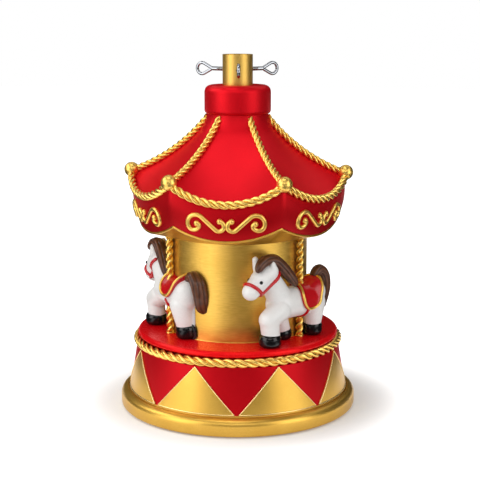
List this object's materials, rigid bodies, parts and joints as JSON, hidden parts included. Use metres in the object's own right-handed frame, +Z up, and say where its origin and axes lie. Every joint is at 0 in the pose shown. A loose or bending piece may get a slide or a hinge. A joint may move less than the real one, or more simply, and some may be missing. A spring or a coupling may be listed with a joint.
{
  "type": "christmas tree stand",
  "caption": "Carousel-shaped christmas tree stand: a round plinth, a drum with horses and a swagged canopy round a tube whose eye screws clamp the tree's pole.",
  "frame": {"origin": "the centre of the foot on the floor", "axes": "+Z up along the tube, -Y the front, the middle of a canopy panel"},
  "size_m": [0.2808, 0.2808, 0.415],
  "materials": {
    "gold_resin": "cast resin with a satin metallic gold paint of fine grain",
    "red_resin": "cast resin with a satin red paint",
    "white_resin": "cast resin with a satin white paint",
    "brown_resin": "cast resin with a brown paint that is lighter on the raised strands",
    "black_resin": "cast resin with a gloss black paint",
    "gold_lacquered_steel": "steel tube with a gold lacquer",
    "chrome_wire": "polished chrome plate on steel wire",
    "bare_steel": "zinc plated steel",
    "rubber": "black rubber",
    "nylon": "natural nylon"
  },
  "bodies": {
    "stand": {"foot_pads": "rubber", "base_plate": "bare_steel", "base_plate_screws": "bare_steel", "foot_ring": "gold_resin", "plinth_wall": "red_resin", "gold_triangles": "gold_resin", "deck_rope": "gold_resin", "deck_plate": "red_resin", "drum_wall": "gold_resin", "soffit": "gold_resin", "canopy_shell": "red_resin", "corner_balls": "gold_resin", "collar_cap": "red_resin", "stack_washer": "bare_steel", "lock_nut": "bare_steel", "pole_tube": "gold_lacquered_steel", "swag_rope_1": "gold_resin", "swag_rope_2": "gold_resin", "swag_rope_3": "gold_resin", "swag_rope_4": "gold_resin", "swag_rope_5": "gold_resin", "swag_rope_6": "gold_resin", "rib_rope_1": "gold_resin", "rib_rope_2": "gold_resin", "rib_rope_3": "gold_resin", "rib_rope_4": "gold_resin", "rib_rope_5": "gold_resin", "rib_rope_6": "gold_resin", "scroll_1": "gold_resin", "scroll_2": "gold_resin", "scroll_3": "gold_resin", "scroll_4": "gold_resin", "scroll_5": "gold_resin", "scroll_6": "gold_resin", "horse_pole_1": "gold_resin", "horse_pole_2": "gold_resin", "horse_pole_3": "gold_resin", "horse_body_1": "white_resin", "horse_saddle_1": "red_resin", "horse_mane_1": "brown_resin", "horse_tail_1": "brown_resin", "horse_hooves_1": "black_resin", "horse_body_2": "white_resin", "horse_saddle_2": "red_resin", "horse_mane_2": "brown_resin", "horse_tail_2": "brown_resin", "horse_hooves_2": "black_resin", "horse_body_3": "white_resin", "horse_saddle_3": "red_resin", "horse_mane_3": "brown_resin", "horse_tail_3": "brown_resin", "horse_hooves_3": "black_resin"},
    "tip_1": {"screw_tip_1": "nylon"},
    "screw_1": {"eye_screw_1": "chrome_wire"},
    "tip_2": {"screw_tip_2": "nylon"},
    "screw_2": {"eye_screw_2": "chrome_wire"},
    "tip_3": {"screw_tip_3": "nylon"},
    "screw_3": {"eye_screw_3": "chrome_wire"}
  },
  "joints": [
    {"name": "tip_1_travel", "type": "slide", "parent": "stand", "child": "tip_1", "axis": [-0.1305, 0.9914, 0], "range_m": [0, 0.008]},
    {"name": "screw_1_turn", "type": "hinge", "parent": "tip_1", "child": "screw_1", "pos_m": [0.00392, -0.02974, 0.398], "axis": [-0.1305, 0.9914, 0], "range_deg": [0, 3600]},
    {"name": "tip_2_travel", "type": "slide", "parent": "stand", "child": "tip_2", "axis": [-0.7934, -0.6088, 0], "range_m": [0, 0.008]},
    {"name": "screw_2_turn", "type": "hinge", "parent": "tip_2", "child": "screw_2", "pos_m": [0.0238, 0.01826, 0.398], "axis": [-0.7934, -0.6088, 0], "range_deg": [0, 3600]},
    {"name": "tip_3_travel", "type": "slide", "parent": "stand", "child": "tip_3", "axis": [0.9239, -0.3827, 0], "range_m": [0, 0.008]},
    {"name": "screw_3_turn", "type": "hinge", "parent": "tip_3", "child": "screw_3", "pos_m": [-0.02772, 0.01148, 0.398], "axis": [0.9239, -0.3827, 0], "range_deg": [0, 3600]}
  ],
  "couplings": [
    {"joint": "tip_1_travel", "follows": "screw_1_turn", "m_per_rad": 0.00012732},
    {"joint": "tip_2_travel", "follows": "screw_2_turn", "m_per_rad": 0.00012732},
    {"joint": "tip_3_travel", "follows": "screw_3_turn", "m_per_rad": 0.00012732}
  ]
}
